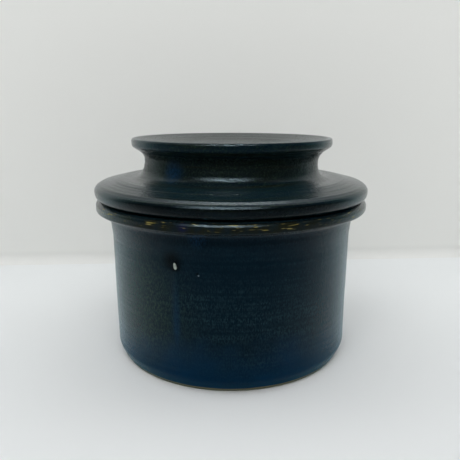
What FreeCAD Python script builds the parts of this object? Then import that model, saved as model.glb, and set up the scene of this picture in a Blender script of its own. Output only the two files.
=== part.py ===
import FreeCAD, Part
import math
import os

# Lidded stoneware jar: a thrown, glazed pot and the loose lid that rests on its rim.
# Lengths are millimetres. +Z is up, the axis of the pot is Z and the foot stands on z = 0.
# Both pieces are turned from one profile, drawn in the XZ half-plane as (radius, height).

# Pot: the wall and floor
POT_DIAMETER = 102.2        # straight wall, just below the flare to the rim
POT_HEIGHT = 67.8           # foot to the crown of the rim, where the lid rests
WALL_TAPER = 0.3            # radius lost from the flare down to the foot bevel
WALL = 5.0
FLOOR = 6.0
FLOOR_CORNER = 8.0          # thrown curve between wall and floor, inside

# Pot: the foot
BEVEL_WIDTH = 2.2           # the foot is trimmed in under the wall
BEVEL_HEIGHT = 4.9
BEVEL_ROUNDING = 3.0
FOOT_ROUNDING = 1.0
FOOT_RING = 7.0             # width of the ring that stands on the table
FOOT_RECESS = 1.5           # depth turned out inside that ring

# Pot: the flared rim
FLARE = 1.5                 # radius gained by the wall below the rim
FLARE_HEIGHT = 10.0
FLARE_ROUNDING = 20.0
RIM_REACH = 6.7             # rim edge beyond the straight wall
RIM_EDGE = 3.1              # thickness of the rounded edge
RIM_FALL = 1.7              # the edge lies this much below the crown
RIM_UNDERCUT = 0.6          # slope of the rim's underside
RIM_ROOT_ROUNDING = 0.8     # between the wall and the rim's underside
SEAT_WIDTH = 6.0            # flat crown, from the mouth outwards
SEAT_ROUNDING = 3.0
MOUTH_ROUNDING = 2.0

# Lid: the disc that covers the rim
LID_OVERHANG = 0.3          # lid edge beyond the pot's rim
LID_EDGE = 5.3              # thickness of the rounded edge
SHOULDER_HEIGHT = 8.5       # top of the flat shoulder above the seat
SHOULDER_INSET = 11.6       # the shoulder starts to fall this far in from the edge
SHOULDER_ROUNDING = 20.0
LID_WALL = 5.0

# Lid: the waisted neck and the dished knob
NECK_DIAMETER = 73.8
NECK_FOOT_CURVE = 6.5       # cove between shoulder and neck
NECK_TOP_CURVE = 5.5        # cove between neck and knob
KNOB_REACH = 5.4            # knob edge beyond the neck
KNOB_UNDERCUT = 3.7         # the knob's underside rises this much from neck to edge
KNOB_EDGE = 2.9             # thickness of the rounded edge
KNOB_HEIGHT = 24.5          # top of the knob above the seat
KNOB_RIM = 3.6              # rounded band around the dish
KNOB_RIM_ROUNDING = 4.0
DISH_DEPTH = 2.2
DISH_SLOPE_WIDTH = 21.0     # from the band in to the middle of the dish
DISH_ROUNDING = 80.0

# Lid: the ring under the disc that keeps it centred in the mouth
RING_CLEARANCE = 1.0        # between the ring and the pot's wall, on the radius
RING_DROP = 5.0
RING_WALL = 4.0
RING_ROOT_ROUNDING = 0.6
HOLLOW_ROUNDING = 4.0       # corners of the hollow underside

# Turning the profiles
SHORTEST_RUN = 1e-6         # a gap between two arcs that needs no straight edge
AXIS_POINT = FreeCAD.Vector(0, 0, 0)
AXIS_DIRECTION = FreeCAD.Vector(0, 0, 1)
FULL_TURN = 360


def half_turn(before, corner, after):
    """Half the angle by which a profile changes direction at a corner."""
    return (math.pi - (before - corner).getAngle(after - corner)) / 2


def corner_arc(before, corner, after, reach):
    """The arc that rounds a corner, from reach before it to reach after it, or None if sharp."""
    if reach == 0:
        return None
    towards_before = (before - corner).normalize()
    towards_after = (after - corner).normalize()
    inward = (towards_before + towards_after).normalize()
    half = half_turn(before, corner, after)
    radius = reach / math.tan(half)
    centre = corner + inward * (radius / math.cos(half))
    return Part.Arc(corner + towards_before * reach, centre - inward * radius, corner + towards_after * reach)


def rounded_edges(points, roundings):
    """Closed chain of straight runs and arcs. Two arcs too large for the run between them share it."""
    count = len(points)
    after = points[1:] + points[:1]
    before = points[-1:] + points[:-1]
    wanted = [r * math.tan(half_turn(*corner)) for r, corner in zip(roundings, zip(before, points, after))]
    run_shares = []
    for index in range(count):
        taken = wanted[index] + wanted[(index + 1) % count]
        run = points[index].distanceToPoint(after[index])
        run_shares.append(min(1, run / taken) if taken else 1)
    reaches = [wanted[index] * min(run_shares[index - 1], run_shares[index]) for index in range(count)]
    arcs = list(map(corner_arc, before, points, after, reaches))
    edges = []
    for index, arc in enumerate(arcs):
        next_arc = arcs[(index + 1) % count]
        run_start = points[index] if arc is None else arc.EndPoint
        run_end = after[index] if next_arc is None else next_arc.StartPoint
        if arc is not None:
            edges.append(arc.toShape())
        if run_start.distanceToPoint(run_end) > SHORTEST_RUN:
            edges.append(Part.LineSegment(run_start, run_end).toShape())
    return edges


def turned(corners):
    """Solid of revolution about Z from a closed profile of (radius, height, rounding)."""
    points = [FreeCAD.Vector(radius, 0, height) for radius, height, _ in corners]
    roundings = [rounding for _, _, rounding in corners]
    face = Part.Face(Part.Wire(rounded_edges(points, roundings)))
    return face.revolve(AXIS_POINT, AXIS_DIRECTION, FULL_TURN)


def mouth_radius():
    """Inside of the pot at its mouth, which the lid's ring fits into."""
    return POT_DIAMETER / 2 - WALL


def rim_radius():
    """Outer edge of the pot's rim, which the lid covers."""
    return POT_DIAMETER / 2 + RIM_REACH


def make_pot():
    """Foot ring, bevel, wall, flared rim, crown and inside, listed from the foot's middle."""
    wall_radius = POT_DIAMETER / 2
    base_radius = wall_radius - WALL_TAPER
    foot_outer = base_radius - BEVEL_WIDTH
    foot_inner = foot_outer - FOOT_RING
    edge_top = POT_HEIGHT - RIM_FALL
    edge_bottom = edge_top - RIM_EDGE
    rim_root = edge_bottom - RIM_UNDERCUT
    return turned([
        (0, FOOT_RECESS, 0),
        (foot_inner, FOOT_RECESS, FOOT_ROUNDING),
        (foot_inner, 0, FOOT_ROUNDING),
        (foot_outer, 0, FOOT_ROUNDING),
        (base_radius, BEVEL_HEIGHT, BEVEL_ROUNDING),
        (wall_radius, rim_root - FLARE_HEIGHT, FLARE_ROUNDING),
        (wall_radius + FLARE, rim_root, RIM_ROOT_ROUNDING),
        (rim_radius(), edge_bottom, RIM_EDGE / 2),
        (rim_radius(), edge_top, RIM_EDGE / 2),
        (mouth_radius() + SEAT_WIDTH, POT_HEIGHT, SEAT_ROUNDING),
        (mouth_radius(), POT_HEIGHT, MOUTH_ROUNDING),
        (mouth_radius() - WALL_TAPER, FLOOR, FLOOR_CORNER),
        (0, FLOOR, 0),
    ])


def make_lid():
    """Dish, knob, neck, shoulder, disc, ring and hollow underside, from the dish's middle."""
    seat = POT_HEIGHT
    lid_radius = rim_radius() + LID_OVERHANG
    neck_radius = NECK_DIAMETER / 2
    knob_radius = neck_radius + KNOB_REACH
    knob_top = seat + KNOB_HEIGHT
    knob_underside = knob_top - KNOB_EDGE
    dish_radius = knob_radius - KNOB_RIM
    dish_floor = knob_top - DISH_DEPTH
    shoulder_top = seat + SHOULDER_HEIGHT
    ring_outer = mouth_radius() - RING_CLEARANCE
    ring_inner = ring_outer - RING_WALL
    ring_bottom = seat - RING_DROP
    hollow_radius = neck_radius - LID_WALL
    return turned([
        (0, dish_floor, 0),
        (dish_radius - DISH_SLOPE_WIDTH, dish_floor, DISH_ROUNDING),
        (dish_radius, knob_top, KNOB_RIM_ROUNDING),
        (knob_radius, knob_top, KNOB_EDGE / 2),
        (knob_radius, knob_underside, KNOB_EDGE / 2),
        (neck_radius, knob_underside - KNOB_UNDERCUT, NECK_TOP_CURVE),
        (neck_radius, shoulder_top, NECK_FOOT_CURVE),
        (lid_radius - SHOULDER_INSET, shoulder_top, SHOULDER_ROUNDING),
        (lid_radius, seat + LID_EDGE, LID_EDGE / 2),
        (lid_radius, seat, LID_EDGE / 2),
        (ring_outer, seat, RING_ROOT_ROUNDING),
        (ring_outer, ring_bottom, RING_WALL / 2),
        (ring_inner, ring_bottom, RING_WALL / 2),
        (ring_inner, shoulder_top - LID_WALL, HOLLOW_ROUNDING),
        (hollow_radius, shoulder_top - LID_WALL, HOLLOW_ROUNDING),
        (hollow_radius, dish_floor - LID_WALL, HOLLOW_ROUNDING),
        (0, dish_floor - LID_WALL, 0),
    ])


os.makedirs("parts", exist_ok=True)
make_pot().exportStep("parts/pot.step")
make_lid().exportStep("parts/lid.step")
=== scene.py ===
"""A thrown stoneware jar and its lid in a dark navy satin glaze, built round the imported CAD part."""

import math

import bpy
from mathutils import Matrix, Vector, noise


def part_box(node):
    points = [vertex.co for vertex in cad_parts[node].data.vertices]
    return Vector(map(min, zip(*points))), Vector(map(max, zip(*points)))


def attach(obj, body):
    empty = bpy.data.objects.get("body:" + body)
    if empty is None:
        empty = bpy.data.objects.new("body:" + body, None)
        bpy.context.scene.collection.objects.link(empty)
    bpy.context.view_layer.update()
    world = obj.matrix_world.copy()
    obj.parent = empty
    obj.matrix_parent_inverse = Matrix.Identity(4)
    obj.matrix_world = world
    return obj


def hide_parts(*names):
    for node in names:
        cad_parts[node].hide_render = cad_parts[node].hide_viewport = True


bl_info = {
    "name": "Stoneware Lidded Jar",
    "version": (1, 0, 0),
    "blender": (4, 5, 0),
    "location": "View3D > Sidebar > Jar",
    "description": "Throws and glazes a stoneware jar and its lid round the CAD part",
    "category": "Add Mesh",
}

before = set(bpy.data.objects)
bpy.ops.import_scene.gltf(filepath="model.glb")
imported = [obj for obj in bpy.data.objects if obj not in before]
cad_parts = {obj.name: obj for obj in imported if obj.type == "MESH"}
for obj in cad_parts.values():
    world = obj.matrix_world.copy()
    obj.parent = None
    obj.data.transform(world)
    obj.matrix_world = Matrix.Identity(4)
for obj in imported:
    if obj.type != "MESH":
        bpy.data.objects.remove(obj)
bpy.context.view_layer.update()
POT_LOW, POT_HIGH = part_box("pot")
LID_LOW, LID_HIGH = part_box("lid")

MM = 0.001
FULL_TURN = 2 * math.pi

# Sizes of the pot, in mm; z is up from the floor.
FOOT_LEVEL = POT_LOW.z / MM
POT_HEIGHT = POT_HIGH.z / MM
RIM_RADIUS = POT_HIGH.x / MM
RECESS_RADIUS = 41.6
RECESS_LEVEL = 1.5
WALL_RADIUS = 51.35
INSIDE_LEVEL = 6

# Sizes of the lid, in mm.
RING_LEVEL = LID_LOW.z / MM
LID_TOP = LID_HIGH.z / MM
LID_RADIUS = LID_HIGH.x / MM
HOLLOW_RADIUS = 31.9
HOLLOW_LEVEL = 85.1
UNDERSIDE_LEVEL = 71.3
RING_INSIDE = 41.1
RING_OUTSIDE = 45.1
NECK_RADIUS = 37.1
KNOB_RADIUS = 42.55

# Each corner is its radius, height, rounding and the spacing of the rows after it, in mm.
POT_CORNERS = (
    (0, RECESS_LEVEL, 0, 4),  # recess inside the foot
    (RECESS_RADIUS, RECESS_LEVEL, 1, 0.5),
    (RECESS_RADIUS, FOOT_LEVEL, 0.8, 1),  # foot ring
    (48.6, FOOT_LEVEL, 1.2, 0.4),
    (51.0, 4.9, 5, 0.6),  # wall above the trimmed bevel
    (WALL_RADIUS, 52.4, 20, 0.45),
    (52.5, 62.2, 3.2, 0.4),  # flare under the rim
    (RIM_RADIUS, 62.9, 1.5, 0.3),
    (RIM_RADIUS, 65.5, 0.4, 0.2),  # narrow flats over the rim's edge
    (57.3, 66.37, 0.3, 0.2),
    (56.2, 67.1, 0.8, 0.4),
    (52.1, POT_HEIGHT, 3, 1),  # crown, where the lid rests
    (46.1, POT_HEIGHT, 2, 1.6),
    (45.8, INSIDE_LEVEL, 8, 2.5),  # plain inside
    (0, INSIDE_LEVEL, 0, 1),
)
LID_CORNERS = (
    (0, HOLLOW_LEVEL, 0, 4),  # hollow under the knob
    (HOLLOW_RADIUS, HOLLOW_LEVEL, 4, 2),
    (HOLLOW_RADIUS, UNDERSIDE_LEVEL, 4, 2),
    (RING_INSIDE, UNDERSIDE_LEVEL, 4, 2),  # ring that sits in the mouth
    (RING_INSIDE, RING_LEVEL, 2, 1),
    (RING_OUTSIDE, RING_LEVEL, 2, 1),
    (RING_OUTSIDE, POT_HEIGHT, 0.6, 1.5),
    (LID_RADIUS, POT_HEIGHT, 3, 0.4),  # disc on the pot's crown
    (LID_RADIUS, 71.75, 0.6, 0.2),  # narrow flats over the disc's edge
    (57.62, 72.63, 0.2, 0.15),
    (57.07, 73.18, 0.2, 0.15),
    (55.75, 73.92, 0.8, 0.3),
    (47.3, 75.95, 16, 0.45),  # shoulder
    (NECK_RADIUS, 75.9, 8.5, 0.45),
    (NECK_RADIUS, 85.6, 7, 0.45),
    (KNOB_RADIUS, 89.0, 2.0, 0.3),  # knob
    (KNOB_RADIUS, 91.35, 0.5, 0.2),  # narrow flat over the knob's edge
    (42.2, 92.1, 0.3, 0.2),
    (41.3, LID_TOP, 0.6, 0.2),
    (39.2, LID_TOP, 2.5, 0.5),
    (21, 89.1, 70, 1),  # dish
    (0, 88.8, 0, 1),
)
SIDES_ROUND = 400
ON_AXIS = 1e-6
MOST_ROUNDED = 0.98  # share of a run that the roundings at its ends may take

# Throwing rings, in mm along the profile from one to the next.
WALL_SPIRAL = 2.6
LID_SPIRAL = 2.1
FINE_RINGS = 1.1
BROAD_RINGS = 4.5
RING_PATCHES = 7  # deep and shallow stretches of the spiral

# How far the lid leaves a true circle, and the ridge round its neck, in mm.
LID_WOBBLE = 0.1
RIDGE_LEVEL = 81.0
RIDGE_WIDTH = 0.7
RIDGE_DEPTH = 0.05

# Flaws and marks in the glaze, their lengths and places in mm. The jar's front is towards -y.
BLISTER_ANGLE = math.radians(-113)
BLISTER_LEAN = math.radians(14)
BLISTER_HEIGHT = 49.1
BLISTER_PLACE = (-20.1, -47.3, BLISTER_HEIGHT)
BLISTER_WIDTH = 0.5  # as a share of its length
BLISTER_SWELL = 0.08  # how much fuller its lower end is
BLISTER_SIDES = 24
BLISTER_ROWS = 12
HALO_PLACE = (-21.0, -46.6, 51.0)
RUN_PLACE = (-20.1, -46.9)
RUN_MIDDLE = 26.0
RUN_LENGTH = 26.0
RUN_FULL_LENGTH = 10.4
RUN_WIDTH = 1.41
RUN_THICKNESS = 0.16
DARK_SPECKS = ((-5.7, -41.6, 92.0), (-11.9, -49.7, 47.0), (-1.1, -52.0, 61.6))
PALE_SPECKS = ((-11.5, -49.8, 46.4), (-11.2, -50.1, 57.3), (-0.9, -52.0, 61.1), (40.5, -33.0, 74.6))


def linear(hex_colour):
    """Turns an sRGB hex value into the linear colour, with its alpha, that Blender's sockets hold."""
    parts = [int(hex_colour[i : i + 2], 16) / 255 for i in (1, 3, 5)]
    values = [p / 12.92 if p <= 0.04045 else ((p + 0.055) / 1.055) ** 2.4 for p in parts]
    return (*values, 1.0)


# ---------------------------------------------------------------- settings


class JarPotSettings(bpy.types.PropertyGroup):
    """What the potter's hands left on the pot."""

    ring_depth: bpy.props.FloatProperty(
        name="Ring depth",
        description="Depth of the throwing rings on the wall",
        default=0.00007,
        unit="LENGTH",
        precision=5,
    )
    wobble: bpy.props.FloatProperty(
        name="Wobble",
        description="How far the wall leaves a true circle",
        default=0.00018,
        unit="LENGTH",
        precision=5,
    )
    blister_length: bpy.props.FloatProperty(
        name="Blister length",
        description="Length of the glaze blister on the wall",
        default=0.0027,
        unit="LENGTH",
        precision=5,
    )


class JarLidSettings(bpy.types.PropertyGroup):
    """What the potter's hands left on the lid."""

    ring_depth: bpy.props.FloatProperty(
        name="Ring depth",
        description="Depth of the rings left by the turning tool",
        default=0.00016,
        unit="LENGTH",
        precision=5,
    )
    knob_offset: bpy.props.FloatProperty(
        name="Knob offset",
        description="How far the knob stands off the lid's axis",
        default=0.0005,
        unit="LENGTH",
        precision=5,
    )


class JarGlazeSettings(bpy.types.PropertyGroup):
    """Colours of the glaze and of the bare clay."""

    deep: bpy.props.FloatVectorProperty(
        name="Deep glaze",
        description="Colour where the glaze is thick and plain",
        subtype="COLOR",
        size=4,
        default=linear("#04131d"),
    )
    slate: bpy.props.FloatVectorProperty(
        name="Slate",
        description="Colour of the fine crystals in the glaze",
        subtype="COLOR",
        size=4,
        default=linear("#1a2e34"),
    )
    pooled: bpy.props.FloatVectorProperty(
        name="Pooled blue",
        description="Colour where the glaze has run thick above the foot",
        subtype="COLOR",
        size=4,
        default=linear("#04253e"),
    )
    broken: bpy.props.FloatVectorProperty(
        name="Broken olive",
        description="Colour where the glaze breaks thin over an edge",
        subtype="COLOR",
        size=4,
        default=linear("#15170c"),
    )
    ochre: bpy.props.FloatVectorProperty(
        name="Ochre specks",
        description="Colour of the specks along the rim",
        subtype="COLOR",
        size=4,
        default=linear("#857a42"),
    )
    haze: bpy.props.FloatVectorProperty(
        name="Olive haze",
        description="Colour of the olive haze low on one side",
        subtype="COLOR",
        size=4,
        default=linear("#2a3b2c"),
    )
    violet: bpy.props.FloatVectorProperty(
        name="Violet spot",
        description="Colour of the one violet spot on the rim",
        subtype="COLOR",
        size=4,
        default=linear("#10142e"),
    )
    # Thin glaze round the blister and in the dark specks; the same near black is also painted shade on the
    # outer face of the lid's edge.
    thin_glaze_and_painted_shade: bpy.props.FloatVectorProperty(
        name="Thin glaze",
        description="Colour round the blister, of the dark specks and of the lid's thick edge",
        subtype="COLOR",
        size=4,
        default=linear("#010304"),
    )
    speck: bpy.props.FloatVectorProperty(
        name="Pale specks",
        description="Colour of the few pale specks",
        subtype="COLOR",
        size=4,
        default=linear("#71808a"),
    )
    clay: bpy.props.FloatVectorProperty(
        name="Bare clay",
        description="Colour of the wiped foot",
        subtype="COLOR",
        size=4,
        default=linear("#6b6752"),
    )


class JarStageSettings(bpy.types.PropertyGroup):
    """Floor, wall, light and camera."""

    floor: bpy.props.FloatVectorProperty(
        name="Floor",
        description="Colour of the floor",
        subtype="COLOR",
        size=4,
        default=linear("#d9dcdd"),
    )
    wall: bpy.props.FloatVectorProperty(
        name="Wall",
        description="Colour of the wall behind the jar",
        subtype="COLOR",
        size=4,
        default=linear("#e2e3e0"),
    )
    light: bpy.props.FloatProperty(
        name="Light",
        description="Brightness of all the lamps together",
        default=1.0,
        min=0.0,
        subtype="FACTOR",
    )
    camera_pitch: bpy.props.FloatProperty(
        name="Camera pitch",
        description="How far the camera looks down",
        default=math.radians(13.38),
        subtype="ANGLE",
    )


class JarMaterials(bpy.types.PropertyGroup):
    """The materials, made once for all the pieces."""

    glaze: bpy.props.PointerProperty(
        name="Glaze", description="The navy satin glaze", type=bpy.types.Material
    )
    blister: bpy.props.PointerProperty(
        name="Blister", description="The pale glaze of the blister", type=bpy.types.Material
    )


# ---------------------------------------------------------------- shapes


def add_run(path, end, spacing):
    """Adds points from the path's last point to end, evenly spaced."""
    start = path[-1].copy()
    steps = max(1, round((end - start).length / spacing))
    for step in range(1, steps + 1):
        path.append(start.lerp(end, step / steps))


def rounded_path(corners):
    """Points along a profile in mm, its corners rounded, as near each other as each corner asks."""
    places = [Vector(corner[:2]) for corner in corners]
    spacings = [corner[3] for corner in corners]
    between = range(1, len(corners) - 1)
    backwards = {i: (places[i - 1] - places[i]).normalized() for i in between}
    onwards = {i: (places[i + 1] - places[i]).normalized() for i in between}
    reaches = [0.0] * len(corners)
    for i in between:
        reaches[i] = corners[i][2] / math.tan(backwards[i].angle(onwards[i]) / 2)
    for i in range(len(corners) - 1):
        room = MOST_ROUNDED * (places[i + 1] - places[i]).length
        asked = reaches[i] + reaches[i + 1]
        if asked > room:
            reaches[i] *= room / asked
            reaches[i + 1] *= room / asked
    path = [places[0]]
    for i in between:
        start = places[i] + backwards[i] * reaches[i]
        end = places[i] + onwards[i] * reaches[i]
        add_run(path, start, spacings[i - 1])
        steps = max(2, round((end - start).length / min(spacings[i - 1], spacings[i])))
        for step in range(1, steps + 1):
            t = step / steps
            path.append(start.lerp(places[i], t).lerp(places[i].lerp(end, t), t))
    add_run(path, places[-1], spacings[-2])
    return path


def new_piece(name, points, faces, material):
    """A smooth mesh object, from points in metres."""
    mesh = bpy.data.meshes.new(name)
    mesh.from_pydata(points, [], faces)
    mesh.update()
    mesh.shade_smooth()
    mesh.materials.append(material)
    piece = bpy.data.objects.new(name, mesh)
    bpy.context.scene.collection.objects.link(piece)
    return piece


def turned(name, corners, relief, widest, highest, material):
    """A closed piece turned from a profile.

    For each point, relief gives its push along the profile's normal and its shift along x, in mm.
    """
    path = rounded_path(corners)
    points = []
    faces = []
    starts = []
    along = 0.0
    for i, place in enumerate(path):
        starts.append(len(points))
        along += (place - path[max(i - 1, 0)]).length
        if place.x < ON_AXIS:
            points.append(Vector((0, 0, place.y)) * MM)
            continue
        ahead = path[min(i + 1, len(path) - 1)] - path[i - 1]
        out = Vector((ahead.y, -ahead.x)).normalized()
        for side in range(SIDES_ROUND):
            angle = FULL_TURN * side / SIDES_ROUND
            push, shift = relief(place.x, place.y, along, angle)
            radius = min(place.x + out.x * push, widest)
            height = max(0.0, min(place.y + out.y * push, highest))
            x = radius * math.cos(angle) + shift
            points.append(Vector((x, radius * math.sin(angle), height)) * MM)
    for i, (low, high) in enumerate(zip(starts, starts[1:])):
        for side in range(SIDES_ROUND):
            after = (side + 1) % SIDES_ROUND
            if path[i].x < ON_AXIS:
                faces.append((low, high + after, high + side))
            elif path[i + 1].x < ON_AXIS:
                faces.append((low + side, low + after, high))
            else:
                faces.append((low + side, low + after, high + after, high + side))
    return new_piece(name, points, faces, material)


def round_noise(angle, circle, along, centre=(0, 0)):
    """Noise that closes on itself round the jar, and changes faster round a wider circle."""
    x = centre[0] + circle * math.cos(angle)
    y = centre[1] + circle * math.sin(angle)
    return noise.noise(Vector((x, y, along)))


def thrown_rings(along, angle, pitch):
    """Rings from about -1 to 1: a spiral of uneven depth, with fine and broad rings never quite level."""
    spiral = math.sin(FULL_TURN * along / pitch + angle)
    strength = 0.5 + 0.5 * round_noise(angle, 0.9, along / RING_PATCHES)
    fine = round_noise(angle, 0.35, along / FINE_RINGS, (4, 0))
    broad = round_noise(angle, 0.5, along / BROAD_RINGS, (0, 9))
    return 0.35 * spiral * strength + 0.45 * fine + 0.6 * broad


def eased(low, high, value):
    """0 at low, 1 at high, smooth between them and level beyond."""
    t = max(0.0, min(1.0, (value - low) / (high - low)))
    return t * t * (3 - 2 * t)


def run_below_blister(height, angle):
    """How thick the glaze ran below the blister, from 0 to 1."""
    turn = (angle - BLISTER_ANGLE + math.pi) % FULL_TURN - math.pi
    across = turn * WALL_RADIUS
    below = BLISTER_HEIGHT - height
    started = eased(-3, 1, below)
    left = 1 - eased(RUN_FULL_LENGTH, RUN_LENGTH, below)
    return started * left * math.exp(-((across / RUN_WIDTH) ** 2))


# ---------------------------------------------------------------- glaze patterns

# Real sizes of the patterns, in mm. Crystals are drawn down the wall as the glaze ran; ochre specks lie
# along the rim; milk clouds the blister. Grain and pitting are coarser than life, so that they show.
CRYSTAL_WIDTH = 0.4762
CRYSTAL_LENGTH = 1.111
SPECK_LENGTH = 4.545
SPECK_HEIGHT = 0.5556
RING_SPACING = 1.25
CLOUD_SIZE = 14.286
GRAIN_SIZE = 0.625
RIM_PATCH_SIZE = 3.571
MILK_SIZE = 0.5556
PIT_DEPTH = 0.2

RING_DRIFT = 0.03  # how much the rings change on their way round
RUN_SQUEEZE = 0.1  # the run is followed almost straight down, so its height hardly counts

# Each noise: the place it is read at, its size there and its detail. Two places are counted in
# crystals and in specks, so the size there is 1.
NOISES = {
    "rings": ("ring_place", RING_SPACING, 3.0),
    "clouds": ("in_mm", CLOUD_SIZE, 3.0),
    "crystals": ("in_crystals", 1.0, 2.0),
    "grain": ("in_mm", GRAIN_SIZE, 2.0),
    "rim_spread": ("on_rim", RIM_PATCH_SIZE, 3.0),
    "specks": ("in_specks", 1.0, 1.0),
    "pitting": ("in_mm", GRAIN_SIZE, 3.0),
}

# Heights made uneven by the clouds, by this many mm, for edges that wander as a wet glaze does.
UNEVEN_HEIGHTS = {"cloud_height": 22.0, "foot_edge": 0.8}

# Each mask: the value it reads, between which two figures, and its strength at each of them.
# Heights and radii are in mm; noises run from 0 to 1.
READINGS = {
    "crystal_mask": ("crystals", 0.4, 0.68, 0.0, 1.0),
    "lower_wall": ("cloud_height", 60.0, 44.0, 0.35, 1.0),
    "on_lid": ("height", 66.5, 67.5, 0.0, 1.0),
    "lid_patches": ("clouds", 0.4, 0.65, 0.1, 0.5),
    "ring_level": ("rings", 0.35, 0.62, 0.25, 1.0),
    "haze_grain": ("crystals", 0.44, 0.66, 0.0, 0.9),
    "lid_rings": ("rings", 0.48, 0.66, 0.0, 0.8),
    "neck_height": ("height", 76.6, 78.0, 0.0, 1.0),
    "neck_radius": ("radius", 39.5, 38.0, 0.0, 1.0),
    "neck_patches": ("clouds", 0.3, 0.6, 0.3, 0.7),
    "grain_spots": ("grain", 0.5, 0.68, 0.0, 0.5),
    "pool": ("cloud_height", 33.0, 14.0, 0.0, 0.95),
    "run_grain": ("crystals", 0.25, 0.6, 0.25, 0.75),
    "spot_grain": ("crystals", 0.3, 0.6, 0.3, 0.9),
    "smear_grain": ("crystals", 0.4, 0.65, 0.0, 1.0),
    "rim_radius": ("radius", 54.5, 56.8, 0.0, 1.0),
    "rim_height": ("height", 66.9, 66.6, 0.0, 1.0),
    "rim_patches": ("rim_spread", 0.35, 0.6, 0.25, 1.0),
    "speck_mask": ("specks", 0.6, 0.7, 0.0, 0.9),
    "speck_height": ("height", 63.9, 64.7, 0.0, 1.0),
    "speck_patches": ("rim_spread", 0.42, 0.55, 0.1, 1.0),
    # The outer face of the lid's edge, painted nearly black in patches as painted shade.
    "edge_radius": ("radius", 56.3, 57.3, 0.0, 1.0),
    "edge_bottom": ("height", 67.3, 67.8, 0.0, 1.0),
    "edge_top": ("height", 73.0, 71.8, 0.0, 1.0),
    "edge_shade_patches": ("clouds", 0.3, 0.6, 0.5, 0.9),
    "bare": ("foot_edge", 2.05, 1.85, 0.0, 1.0),
    "knob_height": ("height", 88.0, 89.0, 0.0, 0.14),
    "knob_radius": ("radius", 41.4, 40.0, 0.0, 1.0),
    "neck_rough": ("height", 77.5, 79.5, 0.0, 0.14),
    "neck_low": ("height", 77.5, 79.5, 0.0, 1.0),
    "neck_high": ("height", 86.0, 84.0, 0.0, 1.0),
    "neck_inside": ("radius", 40.5, 38.5, 0.0, 1.0),
    "wall_rough": ("crystals", 0.3, 0.75, 0.18, 0.26),
    "lid_rough": ("crystals", 0.3, 0.75, 0.11, 0.17),
    "above_wall": ("height", 60.5, 62.5, 0.0, 1.0),
    "foot_level": ("height", 3.0, 18.0, 0.02, 0.4),
    "sheen": ("height", 60.5, 62.5, 0.15, 0.02),
}

# Each patch: the place it is read at, its centre, where it ends and where it is full, in mm.
PATCHES = {
    "haze_side": ("in_mm", (-38.0, -34.0, 30.0), 35.0, 6.0),
    "run_line": ("down_run", (*RUN_PLACE, RUN_MIDDLE * RUN_SQUEEZE), 2.6, 0.0),
    "neck_spot": ("in_mm", (-22.0, -30.5, 80.6), 6.5, 1.0),
    "rim_spot": ("in_mm", (-16.4, -55.2, 65.0), 2.6, 0.2),
    "smear_spot": ("in_mm", (-11.6, -50.4, 60.4), 5.0, 1.0),
    "halo": ("in_mm", HALO_PLACE, 5.8, 1.2),
    "blister_edge": ("in_mm", BLISTER_PLACE, 2.6, 1.4),
}

# Masks joined: MULTIPLY leaves what all of them share, MAXIMUM takes whichever is strongest.
JOINS = (
    ("lid_crystals", "MULTIPLY", ("on_lid", "lid_patches")),
    ("crystal_level", "MAXIMUM", ("lower_wall", "lid_crystals")),
    ("crystal_share", "MULTIPLY", ("crystal_mask", "crystal_level", "ring_level")),
    ("haze", "MULTIPLY", ("haze_side", "haze_grain")),
    ("olive_rings", "MULTIPLY", ("on_lid", "lid_rings")),
    ("olive_neck", "MULTIPLY", ("neck_height", "neck_radius", "neck_patches")),
    ("olive", "MAXIMUM", ("olive_rings", "olive_neck")),
    ("lid_grain", "MULTIPLY", ("on_lid", "grain_spots")),
    ("run", "MULTIPLY", ("run_line", "run_grain")),
    ("neck_blue", "MULTIPLY", ("neck_spot", "spot_grain")),
    ("smear", "MULTIPLY", ("smear_spot", "smear_grain")),
    ("blue", "MAXIMUM", ("pool", "run", "neck_blue", "smear")),
    ("rim", "MULTIPLY", ("rim_radius", "rim_height")),
    ("rim_broken", "MULTIPLY", ("rim", "rim_patches")),
    ("rim_violet", "MULTIPLY", ("rim_spot", "rim")),
    ("rim_specks", "MULTIPLY", ("speck_mask", "rim", "speck_height", "speck_patches")),
    # Painted shade on the outer face of the lid's edge.
    ("painted_edge_shade", "MULTIPLY", ("edge_radius", "edge_bottom", "edge_top", "edge_shade_patches")),
    ("knob_rough", "MULTIPLY", ("knob_height", "knob_radius")),
    ("neck_dry", "MULTIPLY", ("neck_rough", "neck_inside")),
    ("dry", "MAXIMUM", ("knob_rough", "neck_dry")),
    ("neck_dull", "MULTIPLY", ("neck_low", "neck_inside", "neck_high")),
)

# The colours, laid over the plain deep glaze one after another, each where its mask says: crystals;
# olive haze where the fire caught one side; dark olive in the lid's rings and round its neck, with lighter
# olive grain; blue in the last 20 mm above the foot, in the run and in thick spots; olive, violet and
# ochre on the rim; nearly black round the blister, and nearly black as painted shade on the lid's edge;
# clay where it was wiped.
LAYERS = (
    ("crystal_share", "slate"),
    ("haze", "haze"),
    ("olive", "broken"),
    ("lid_grain", "haze"),
    ("blue", "pooled"),
    ("rim_broken", "broken"),
    ("rim_violet", "violet"),
    ("rim_specks", "ochre"),
    ("halo", "thin_glaze_and_painted_shade"),
    ("blister_edge", "thin_glaze_and_painted_shade"),
    ("painted_edge_shade", "thin_glaze_and_painted_shade"),
    ("bare", "clay"),
)

# Specks that lie on top: their places, where each ends and where it is full, in mm, and their colour.
SPECKS = (
    (DARK_SPECKS, 0.75, 0.3, "thin_glaze_and_painted_shade"),
    (PALE_SPECKS, 0.55, 0.1, "speck"),
)

# ---------------------------------------------------------------- materials

# A fired glaze is a glass.
GLASS_IOR = 1.5
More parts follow.
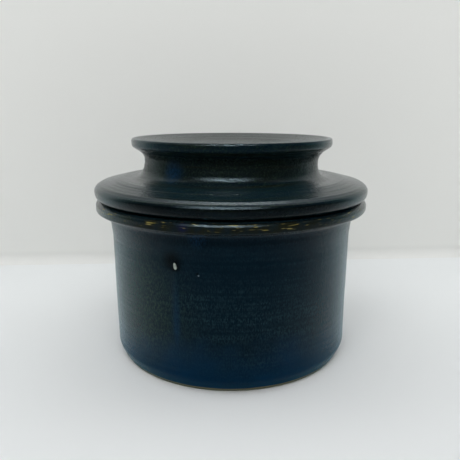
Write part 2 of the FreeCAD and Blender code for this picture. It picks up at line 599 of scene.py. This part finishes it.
# The glaze mirrors little from the front, least on the wall, and its faint sheen is a cold blue.
WALL_MIRROR = linear("#384d5d")
LID_MIRROR = linear("#63737a")
SHEEN_TINT = linear("#3fdaf3")
SHEEN_ROUGHNESS = 0.4
NECK_MIRROR_LEVEL = 0.12
CLAY_ROUGHNESS = 0.85
RING_SHARE = 0.6  # how much the rings stand out beside the pitting
SKIN_STRENGTH = 0.6
BLISTER_GREY = linear("#59655f")
BLISTER_WHITE = linear("#b4beb4")


def add_node(tree, kind, settings=None, **links):
    """Adds a node, gives it its settings, and fills its inputs from sockets or plain values.

    An input goes by its name, with _ for each space, or by _ and its number.
    """
    node = tree.nodes.new(kind)
    for name, value in (settings or {}).items():
        setattr(node, name, value)
    for name, value in links.items():
        key = int(name[1:]) if name[0] == "_" else name.replace("_", " ")
        if isinstance(value, bpy.types.NodeSocket):
            tree.links.new(value, node.inputs[key])
        else:
            node.inputs[key].default_value = value
    return node


def bare_material(name):
    """A new material whose node tree is still empty, with that tree."""
    material = bpy.data.materials.new(name)
    material.use_nodes = True
    material.node_tree.nodes.clear()
    return material, material.node_tree


def patch(tree, place, centre, reach, core):
    """A mask that is 1 within core mm of its centre and falls to 0 at reach mm."""
    away = add_node(tree, "ShaderNodeVectorMath", {"operation": "DISTANCE"}, _0=place, _1=centre)
    return add_node(
        tree,
        "ShaderNodeMapRange",
        {"interpolation_type": "SMOOTHSTEP"},
        Value=away.outputs["Value"],
        From_Min=reach,
        From_Max=core,
    ).outputs[0]


def glaze_places(tree):
    """Places on the jar in mm, its heights and radii, and the places that the patterns are read at."""
    place = add_node(tree, "ShaderNodeTexCoord").outputs["Object"]
    in_mm = add_node(tree, "ShaderNodeVectorMath", {"operation": "SCALE"}, _0=place, Scale=1 / MM).outputs[0]
    parts = add_node(tree, "ShaderNodeSeparateXYZ", Vector=in_mm)
    height = parts.outputs["Z"]
    flat = add_node(tree, "ShaderNodeVectorMath", {"operation": "MULTIPLY"}, _0=in_mm, _1=(1.0, 1.0, 0.0))
    away = add_node(tree, "ShaderNodeVectorMath", {"operation": "LENGTH"}, _0=flat.outputs[0])
    radius = away.outputs["Value"]
    to_front = add_node(tree, "ShaderNodeMath", {"operation": "MULTIPLY"}, _0=parts.outputs["Y"], _1=-1.0)
    turn = add_node(
        tree, "ShaderNodeMath", {"operation": "ARCTAN2"}, _0=parts.outputs["X"], _1=to_front.outputs[0]
    ).outputs[0]
    arc = add_node(tree, "ShaderNodeMath", {"operation": "MULTIPLY"}, _0=turn, _1=RIM_RADIUS).outputs[0]
    on_rim = add_node(tree, "ShaderNodeCombineXYZ", X=arc, Y=height).outputs[0]
    # Rings follow radius and height, so they run level on the wall and round on the lid.
    profile = add_node(tree, "ShaderNodeCombineXYZ", X=radius, Y=height).outputs[0]
    drift = add_node(
        tree, "ShaderNodeVectorMath", {"operation": "SCALE"}, _0=in_mm, Scale=RING_DRIFT
    ).outputs[0]
    ring_place = add_node(tree, "ShaderNodeVectorMath", {"operation": "ADD"}, _0=profile, _1=drift).outputs[0]
    places = {"in_mm": in_mm, "height": height, "radius": radius, "on_rim": on_rim, "ring_place": ring_place}
    stretched = {
        "in_crystals": (in_mm, (1 / CRYSTAL_WIDTH, 1 / CRYSTAL_WIDTH, 1 / CRYSTAL_LENGTH)),
        "in_specks": (on_rim, (1 / SPECK_LENGTH, 1 / SPECK_HEIGHT, 1.0)),
        "down_run": (in_mm, (1.0, 1.0, RUN_SQUEEZE)),
    }
    for name, (base, stretch) in stretched.items():
        places[name] = add_node(
            tree, "ShaderNodeVectorMath", {"operation": "MULTIPLY"}, _0=base, _1=stretch
        ).outputs[0]
    return places


def glaze_values(tree):
    """All the places, noises and masks of the glaze, by name, as the tables above give them."""
    values = glaze_places(tree)
    for name, (place, size, detail) in NOISES.items():
        spread = add_node(
            tree, "ShaderNodeTexNoise", {}, Vector=values[place], Scale=1 / size, Detail=detail
        )
        values[name] = spread.outputs["Fac"]
    for name, depth in UNEVEN_HEIGHTS.items():
        values[name] = add_node(
            tree,
            "ShaderNodeMath",
            {"operation": "MULTIPLY_ADD"},
            _0=values["clouds"],
            _1=depth,
            _2=values["height"],
        ).outputs[0]
    for name, (value, low, high, at_low, at_high) in READINGS.items():
        values[name] = add_node(
            tree,
            "ShaderNodeMapRange",
            {},
            Value=values[value],
            From_Min=low,
            From_Max=high,
            To_Min=at_low,
            To_Max=at_high,
        ).outputs[0]
    for name, (place, centre, reach, core) in PATCHES.items():
        values[name] = patch(tree, values[place], centre, reach, core)
    for name, operation, (first, *others) in JOINS:
        joined = values[first]
        for other in others:
            joined = add_node(
                tree, "ShaderNodeMath", {"operation": operation}, _0=joined, _1=values[other]
            ).outputs[0]
        values[name] = joined
    return values


def glaze_colour(tree, values):
    """The glaze's colours and specks, laid one over another."""
    colours = bpy.context.scene.jar_glaze
    layers = [(values[mask], getattr(colours, name)) for mask, name in LAYERS]
    for spots, reach, core, name in SPECKS:
        for spot in spots:
            layers.append((patch(tree, values["in_mm"], spot, reach, core), getattr(colours, name)))
    colour = colours.deep
    for mask, over in layers:
        colour = add_node(
            tree, "ShaderNodeMix", {"data_type": "RGBA"}, _0=mask, _6=colour, _7=over
        ).outputs[2]
    return colour


def glazed_stoneware():
    """Stoneware dipped in an iron and cobalt satin glaze and fired in reduction.

    The eye sees near black with navy in its depth, slate crystals drawn down the wall, blue where the glaze
    pooled above the foot, olive where it broke over edges, and a soft sheen that turns pale at the sides.
    """
    material, tree = bare_material("navy_satin_glaze_dipped_stoneware")
    values = glaze_values(tree)
    colour = glaze_colour(tree, values)

    # A satin skin: roughness near 0.2 on the wall, glossier on the lid and rim, duller on the neck and in
    # the dish, dry on the bare clay.
    either_rough = add_node(
        tree,
        "ShaderNodeMix",
        {"data_type": "FLOAT"},
        _0=values["above_wall"],
        _2=values["wall_rough"],
        _3=values["lid_rough"],
    ).outputs[0]
    glaze_rough = add_node(
        tree, "ShaderNodeMath", {"operation": "ADD"}, _0=either_rough, _1=values["dry"]
    ).outputs[0]
    rough = add_node(
        tree, "ShaderNodeMix", {"data_type": "FLOAT"}, _0=values["bare"], _2=glaze_rough, _3=CLAY_ROUGHNESS
    ).outputs[0]
    # The lid and rim mirror more than the wall; the neck and the foot mirror least.
    mirror = add_node(
        tree, "ShaderNodeMix", {"data_type": "RGBA"}, _0=values["above_wall"], _6=WALL_MIRROR, _7=LID_MIRROR
    ).outputs[2]
    level = add_node(
        tree,
        "ShaderNodeMix",
        {"data_type": "FLOAT"},
        _0=values["neck_dull"],
        _2=values["foot_level"],
        _3=NECK_MIRROR_LEVEL,
    ).outputs[0]

    # Fine pitting and faint rings break up the highlights.
    skin = add_node(
        tree,
        "ShaderNodeMath",
        {"operation": "MULTIPLY_ADD"},
        _0=values["rings"],
        _1=RING_SHARE,
        _2=values["pitting"],
    ).outputs[0]
    bump = add_node(tree, "ShaderNodeBump", {}, Strength=SKIN_STRENGTH, Distance=PIT_DEPTH * MM, Height=skin)
    shader = add_node(
        tree,
        "ShaderNodeBsdfPrincipled",
        {},
        Base_Color=colour,
        Roughness=rough,
        Normal=bump.outputs[0],
        IOR=GLASS_IOR,
        Specular_Tint=mirror,
        Specular_IOR_Level=level,
        Sheen_Weight=values["sheen"],
        Sheen_Roughness=SHEEN_ROUGHNESS,
        Sheen_Tint=SHEEN_TINT,
    )
    add_node(tree, "ShaderNodeOutputMaterial", {}, Surface=shader.outputs[0])
    return material


def blistered_glaze():
    """A blister of pale, glossy glaze: a clouded, milky drop that catches the light."""
    material, tree = bare_material("pale_glaze_blister")
    place = add_node(tree, "ShaderNodeTexCoord").outputs["Object"]
    milk = add_node(
        tree, "ShaderNodeTexNoise", {}, Vector=place, Scale=1 / (MILK_SIZE * MM), Detail=2.0
    ).outputs["Fac"]
    colour = add_node(
        tree,
        "ShaderNodeMix",
        {"data_type": "RGBA"},
        _0=milk,
        _6=BLISTER_GREY,
        _7=BLISTER_WHITE,
    ).outputs[2]
    shader = add_node(
        tree, "ShaderNodeBsdfPrincipled", {}, Base_Color=colour, Roughness=0.15, IOR=GLASS_IOR
    )
    add_node(tree, "ShaderNodeOutputMaterial", {}, Surface=shader.outputs[0])
    return material


def matte_card(name, colour):
    """Matte painted card: plain and almost without shine."""
    material, tree = bare_material(name)
    shader = add_node(
        tree, "ShaderNodeBsdfPrincipled", {}, Base_Color=colour, Roughness=0.9, Specular_IOR_Level=0.1
    )
    add_node(tree, "ShaderNodeOutputMaterial", {}, Surface=shader.outputs[0])
    return material


# ---------------------------------------------------------------- pieces


class JAR_OT_glazes(bpy.types.Operator):
    """Mixes the glazes that the pieces share"""

    bl_idname = "jar.glazes"
    bl_label = "Glazes"

    def execute(self, context):
        context.scene.jar_materials.glaze = glazed_stoneware()
        context.scene.jar_materials.blister = blistered_glaze()
        return {"FINISHED"}


def mixed(name):
    """One of the materials that the Glazes operator mixes."""
    material = getattr(bpy.context.scene.jar_materials, name)
    if material is None:
        raise RuntimeError("Run the Glazes operator first")
    return material


def show(piece, node):
    """Makes a piece stand for its CAD node."""
    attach(piece, "root")
    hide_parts(node)


class JAR_OT_pot(bpy.types.Operator):
    """Throws the pot: foot, wall with its rings, rolled rim and plain inside"""

    bl_idname = "jar.pot"
    bl_label = "Pot"

    def execute(self, context):
        settings = context.scene.jar_pot
        ring_depth = settings.ring_depth / MM
        wobble = settings.wobble / MM

        # The foot and the inside stay plain, and the rim nearly so; heights and radii are in mm.
        def relief(radius, height, along, angle):
            on_wall = eased(2, 5, height) * eased(47, 49, radius)
            calm = 1 - 0.8 * eased(54, 56, radius)
            rings = thrown_rings(along, angle, WALL_SPIRAL) * ring_depth * calm
            out_of_true = round_noise(angle, 0.6, height / 30) * wobble
            run = run_below_blister(height, angle) * RUN_THICKNESS
            return (rings + out_of_true + run) * on_wall, 0.0

        pot = turned("stoneware_pot", POT_CORNERS, relief, RIM_RADIUS, POT_HEIGHT, mixed("glaze"))
        show(pot, "pot")
        return {"FINISHED"}


class JAR_OT_lid(bpy.types.Operator):
    """Throws the lid: locating ring, hollow underside, rounded disc, waisted neck and dished knob"""

    bl_idname = "jar.lid"
    bl_label = "Lid"

    def execute(self, context):
        settings = context.scene.jar_lid
        ring_depth = settings.ring_depth / MM
        knob_offset = settings.knob_offset / MM

        # The underside stays plain, and the disc's edge nearly so; heights and radii are in mm.
        def relief(radius, height, along, angle):
            on_disc = eased(68.5, 70, height) * eased(46, 48, radius)
            on_neck = eased(34, 36, radius) * eased(74, 76, height)
            outside = max(on_disc, on_neck, eased(86, 88, height))
            calm = 1 - 0.8 * eased(54.5, 56, radius)
            rings = thrown_rings(along, angle, LID_SPIRAL) * ring_depth * calm
            out_of_true = round_noise(angle, 0.6, height / 20, (5, 0)) * LID_WOBBLE
            ridge = math.exp(-(((height - RIDGE_LEVEL) / RIDGE_WIDTH) ** 2)) * RIDGE_DEPTH
            on_ridge = eased(41, 38.5, radius)
            shift = knob_offset * eased(78, 87, height)
            return (rings + out_of_true + ridge * on_ridge) * outside, shift

        lid = turned("stoneware_lid", LID_CORNERS, relief, LID_RADIUS, LID_TOP, mixed("glaze"))
        show(lid, "lid")
        return {"FINISHED"}


class JAR_OT_blister(bpy.types.Operator):
    """Sets the one blister of pale glaze on the pot's wall"""

    bl_idname = "jar.blister"
    bl_label = "Glaze blister"

    def execute(self, context):
        half = context.scene.jar_pot.blister_length / 2
        up = Vector((0, 0, 1))
        out = Vector((math.cos(BLISTER_ANGLE), math.sin(BLISTER_ANGLE), 0))
        side = up.cross(out)
        long_way = up * math.cos(BLISTER_LEAN) - side * math.sin(BLISTER_LEAN)
        short_way = side * math.cos(BLISTER_LEAN) + up * math.sin(BLISTER_LEAN)
        centre = (out * WALL_RADIUS + up * BLISTER_HEIGHT) * MM
        points = [centre - long_way * half]
        for row in range(1, BLISTER_ROWS):
            tilt = math.pi * row / BLISTER_ROWS
            across = math.sin(tilt) * half * (BLISTER_WIDTH + BLISTER_SWELL * math.cos(tilt))
            for step in range(BLISTER_SIDES):
                turn = FULL_TURN * step / BLISTER_SIDES
                spot = short_way * math.cos(turn) * across + out * math.sin(turn) * across
                points.append(centre + spot - long_way * math.cos(tilt) * half)
        points.append(centre + long_way * half)
        top = len(points) - 1
        last = top - BLISTER_SIDES
        faces = []
        for step in range(BLISTER_SIDES):
            after = (step + 1) % BLISTER_SIDES
            faces.append((0, 1 + after, 1 + step))
            for low in range(1, last, BLISTER_SIDES):
                high = low + BLISTER_SIDES
                faces.append((low + step, low + after, high + after, high + step))
            faces.append((last + step, last + after, top))
        blister = new_piece("glaze_blister", points, faces, mixed("blister"))
        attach(blister, "root")
        return {"FINISHED"}


# ---------------------------------------------------------------- stage

# Floor and wall, in metres. A small cove joins them, and its foot is painted a little darker, as painted
# shade.
STAGE_REACH = 1.6
WALL_HEIGHT = 0.9
WALL_DISTANCE = 0.1245
WALL_TURN = math.radians(3.4)
COVE_RADIUS = 0.006
COVE_LIFT = 0.0003
COVE_STEPS = 12
# Painted shade: the colour and heights of the darker foot of the cove.
COVE_PAINTED_SHADE = linear("#d6d7d5")
COVE_SHADE_HEIGHTS = (0.002, 0.009)

# A black card in front, in metres, which only the glaze's mirror sees.
FLAG_WIDTH = 0.6
FLAG_DISTANCE = 0.42
FLAG_BOTTOM = 0.001
FLAG_TOP = 0.3

WHITE = linear("#ffffff")
COOL_WHITE = linear("#f3fdff")
SIDE_BLUE = linear("#95f3ff")
# Each lamp is its name, place, aim and size in metres, its brightness and its tint.
LAMPS = (
    ("ceiling", (0, 0.03, 0.5), (0, 0.03, 0), (0.9, 0.44), 1.38, WHITE),
    ("front_fill", (-0.04, -0.36, 0.39), (0, 0, 0.08), (0.44, 0.05), 13.0, WHITE),
    ("front_glint", (-0.04, -0.36, 0.39), (0, 0, 0.08), (0.34, 0.045), 240.0, WHITE),
    ("back_glint", (0, 0.09, 0.45), (0, 0, 0.08), (0.3, 0.02), 26.0, COOL_WHITE),
    ("left_fill", (-0.32, 0.05, 0.22), (0, 0.05, 0.22), (0.22, 0.44), 0.87, WHITE),
    ("right_fill", (0.32, 0.05, 0.22), (0, 0.05, 0.22), (0.22, 0.44), 0.87, WHITE),
    ("left_glint", (-0.19, 0.035, 0.2), (0, 0.035, 0.2), (0.15, 0.4), 0.22, SIDE_BLUE),
    ("right_glint", (0.19, 0.035, 0.2), (0, 0.035, 0.2), (0.15, 0.4), 0.22, SIDE_BLUE),
)
AIR_BRIGHTNESS = 0.08
AIR_COLOUR = linear("#d0d2cf")

CAMERA_PLACE = (-0.0004, -0.2199, 0.1035)
LENS_MM = 39.44
SENSOR_MM = 36


def soft_light(name, place, aim, size, brightness, tint):
    """A rectangular lamp that isn't seen itself; a glint is only mirrored, a fill only lights."""
    lamp = bpy.data.lights.new(name, "AREA")
    lamp.shape = "RECTANGLE"
    lamp.size, lamp.size_y = size
    # A rectangle's brightness is its power over four times its area.
    lamp.energy = 4 * size[0] * size[1] * brightness
    lamp.color = tint[:3]
    light = bpy.data.objects.new(name, lamp)
    light.location = place
    light.rotation_mode = "QUATERNION"
    light.rotation_quaternion = (Vector(aim) - Vector(place)).to_track_quat("-Z", "Y")
    light.visible_camera = False
    light.visible_diffuse = "glint" not in name
    light.visible_glossy = "fill" not in name
    bpy.context.scene.collection.objects.link(light)


def set_floor(colour):
    """The pale floor that the jar stands on."""
    card = matte_card("pale_matte_floor_card", colour)
    reach = STAGE_REACH
    corners = [(-reach, -reach, 0), (reach, -reach, 0), (reach, reach, 0), (-reach, reach, 0)]
    new_piece("floor", corners, [(0, 1, 2, 3)], card)


def wall_card(colour):
    """The wall's matte card, with painted shade at the foot of its cove, and clear from behind."""
    card = matte_card("pale_matte_wall_card", colour)
    tree = card.node_tree
    shader = tree.nodes["Principled BSDF"]
    place = add_node(tree, "ShaderNodeTexCoord").outputs["Object"]
    up = add_node(tree, "ShaderNodeSeparateXYZ", Vector=place).outputs["Z"]
    low, high = COVE_SHADE_HEIGHTS
    above = add_node(tree, "ShaderNodeMapRange", {}, Value=up, From_Min=low, From_Max=high).outputs[0]
    # Painted shade: the cove's foot is coloured darker below these heights.
    cove_shade = add_node(tree, "ShaderNodeMix", {"data_type": "RGBA"}, _0=above, _6=COVE_PAINTED_SHADE, _7=colour)
    tree.links.new(cove_shade.outputs[2], shader.inputs["Base Color"])
    behind = add_node(tree, "ShaderNodeNewGeometry").outputs["Backfacing"]
    clear = add_node(tree, "ShaderNodeBsdfTransparent").outputs[0]
    one_sided = add_node(tree, "ShaderNodeMixShader", {}, _0=behind, _1=shader.outputs[0], _2=clear)
    tree.links.new(one_sided.outputs[0], tree.nodes["Material Output"].inputs[0])
    return card


def set_wall(colour):
    """The wall behind the jar, curved into the floor at its foot."""
    across = Vector((math.cos(WALL_TURN), math.sin(WALL_TURN), 0))
    away = Vector((-math.sin(WALL_TURN), math.cos(WALL_TURN), 0))
    front = WALL_DISTANCE - COVE_RADIUS
    rows = []
    for step in range(COVE_STEPS + 1):
        angle = math.pi / 2 * step / COVE_STEPS
        rise = COVE_RADIUS * (1 - math.cos(angle))
        rows.append((front + COVE_RADIUS * math.sin(angle), COVE_LIFT + rise))
    rows.append((WALL_DISTANCE, WALL_HEIGHT))
    points = []
    for back_by, up in rows:
        for end in (-STAGE_REACH, STAGE_REACH):
            points.append(away * back_by + across * end + Vector((0, 0, up)))
    faces = [(2 * i, 2 * i + 1, 2 * i + 3, 2 * i + 2) for i in range(len(rows) - 1)]
    new_piece("wall", points, faces, wall_card(colour))


def set_front_flag():
    """The black card in front: it is mirrored in the glaze and does nothing else."""
    card = matte_card("black_matte_card", linear("#040404"))
    side, away = FLAG_WIDTH / 2, -FLAG_DISTANCE
    corners = [
        (-side, away, FLAG_BOTTOM),
        (side, away, FLAG_BOTTOM),
        (side, away, FLAG_TOP),
        (-side, away, FLAG_TOP),
    ]
    flag = new_piece("front_flag", corners, [(0, 1, 2, 3)], card)
    flag.visible_camera = False
    flag.visible_diffuse = False
    flag.visible_shadow = False


def set_air():
    """The air round the stage: pale to the camera and dim to everything else."""
    world = bpy.data.worlds.new("studio_air")
    bpy.context.scene.world = world
    world.use_nodes = True
    tree = world.node_tree
    tree.nodes.clear()
    seen = add_node(tree, "ShaderNodeLightPath").outputs["Is Camera Ray"]
    dim = add_node(tree, "ShaderNodeBackground", {}, Color=WHITE, Strength=AIR_BRIGHTNESS).outputs[0]
    pale = add_node(tree, "ShaderNodeBackground", {}, Color=AIR_COLOUR, Strength=1.0).outputs[0]
    air = add_node(tree, "ShaderNodeMixShader", {}, _0=seen, _1=dim, _2=pale).outputs[0]
    add_node(tree, "ShaderNodeOutputWorld", {}, Surface=air)


def set_camera(pitch):
    """The camera in front of the jar, looking a little down."""
    lens = bpy.data.cameras.new("camera")
    lens.lens = LENS_MM
    lens.sensor_width = SENSOR_MM
    lens.clip_start = 0.01
    camera = bpy.data.objects.new("camera", lens)
    camera.location = CAMERA_PLACE
    camera.rotation_euler = (math.pi / 2 - pitch, 0, 0)
    bpy.context.scene.collection.objects.link(camera)
    bpy.context.scene.camera = camera


class JAR_OT_stage(bpy.types.Operator):
    """Sets the pale floor, the wall behind, the soft lights and the camera"""

    bl_idname = "jar.stage"
    bl_label = "Stage"

    def execute(self, context):
        settings = context.scene.jar_stage
        context.scene.view_settings.view_transform = "Standard"
        set_floor(settings.floor)
        set_wall(settings.wall)
        for name, place, aim, size, brightness, tint in LAMPS:
            soft_light(name, place, aim, size, brightness * settings.light, tint)
        set_front_flag()
        set_air()
        set_camera(settings.camera_pitch)
        return {"FINISHED"}


class JAR_PT_panel(bpy.types.Panel):
    """Lists the jar's settings and the operators that make it"""

    bl_idname = "JAR_PT_panel"
    bl_label = "Stoneware jar"
    bl_space_type = "VIEW_3D"
    bl_region_type = "UI"
    bl_category = "Jar"

    def draw(self, context):
        scene = context.scene
        layout = self.layout
        for title, settings, operators in (
            ("Glaze", scene.jar_glaze, ("jar.glazes",)),
            ("Pot", scene.jar_pot, ("jar.pot", "jar.blister")),
            ("Lid", scene.jar_lid, ("jar.lid",)),
            ("Stage", scene.jar_stage, ("jar.stage",)),
        ):
            box = layout.box()
            box.label(text=title)
            for name in settings.__annotations__:
                box.prop(settings, name)
            for operator in operators:
                box.operator(operator)


SETTINGS = (
    ("jar_pot", JarPotSettings),
    ("jar_lid", JarLidSettings),
    ("jar_glaze", JarGlazeSettings),
    ("jar_stage", JarStageSettings),
    ("jar_materials", JarMaterials),
)
TOOLS = (JAR_OT_glazes, JAR_OT_pot, JAR_OT_blister, JAR_OT_lid, JAR_OT_stage, JAR_PT_panel)


def register():
    for name, group in SETTINGS:
        bpy.utils.register_class(group)
        setattr(bpy.types.Scene, name, bpy.props.PointerProperty(type=group))
    for tool in TOOLS:
        bpy.utils.register_class(tool)


def unregister():
    for tool in reversed(TOOLS):
        bpy.utils.unregister_class(tool)
    for name, group in reversed(SETTINGS):
        delattr(bpy.types.Scene, name)
        bpy.utils.unregister_class(group)


def main():
    register()
    bpy.ops.jar.glazes()
    bpy.ops.jar.pot()
    bpy.ops.jar.blister()
    bpy.ops.jar.lid()
    bpy.ops.jar.stage()


if __name__ == "__main__":
    main()
